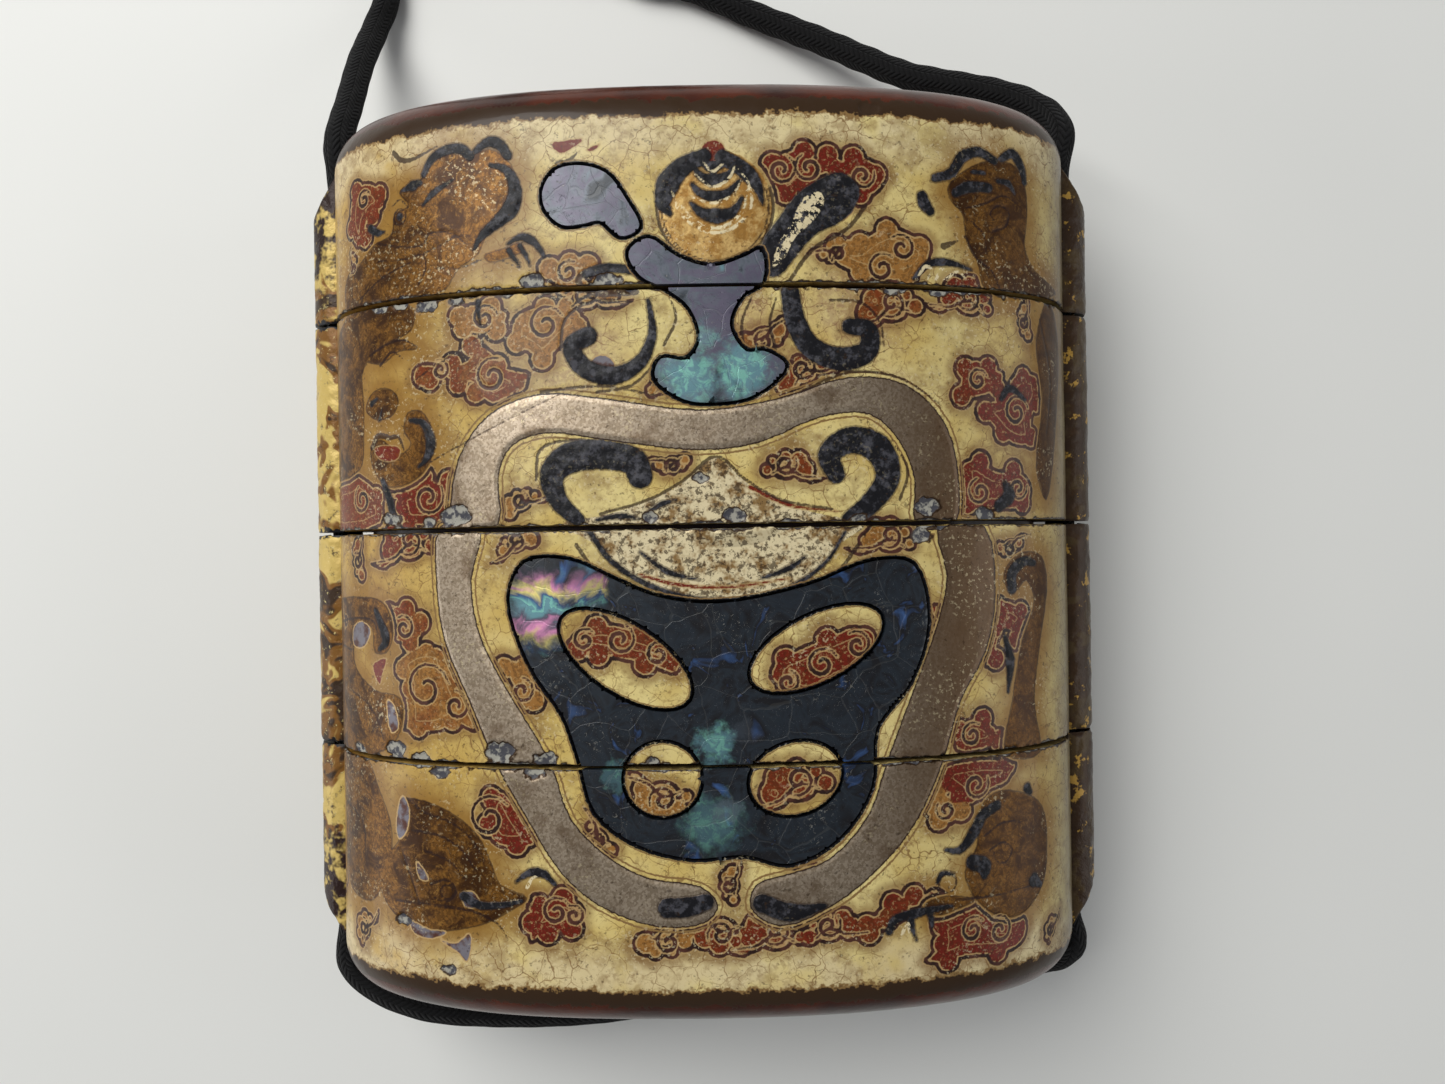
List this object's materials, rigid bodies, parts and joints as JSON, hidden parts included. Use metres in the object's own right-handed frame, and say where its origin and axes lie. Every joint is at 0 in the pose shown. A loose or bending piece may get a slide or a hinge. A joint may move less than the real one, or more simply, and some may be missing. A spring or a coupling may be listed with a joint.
{
  "type": "inro case",
  "caption": "Lacquered inro lying on its back: lid over nesting cases, half-round cord runners, shell inlays, and a black cord drawn through both sides.",
  "frame": {"origin": "on the surface it lies on, under the middle of the closed body without its cord", "axes": "+Y along the body towards the lid's end, +Z out of the painted face, +X to the right of that face"},
  "size_m": [0.0736, 0.1465, 0.0309],
  "materials": {
    "lacquer": "lacquered wood, ivory and gold ground, worn satin",
    "shell": "polished dark mother-of-pearl",
    "cord": "braided cotton, slightly fuzzy"
  },
  "bodies": {
    "root": {"lower_case": "lacquer", "middle_case": "lacquer", "upper_case": "lacquer", "lid": "lacquer", "shell_petal": "shell", "shell_crest_top": "shell", "shell_crest_stem": "shell", "shell_plaque_upper": "shell", "shell_plaque_lower": "shell", "cord_through": "cord", "cord_left": "cord", "cord_right": "cord", "cord_coil": "cord", "knot": "cord"}
  },
  "joints": []
}
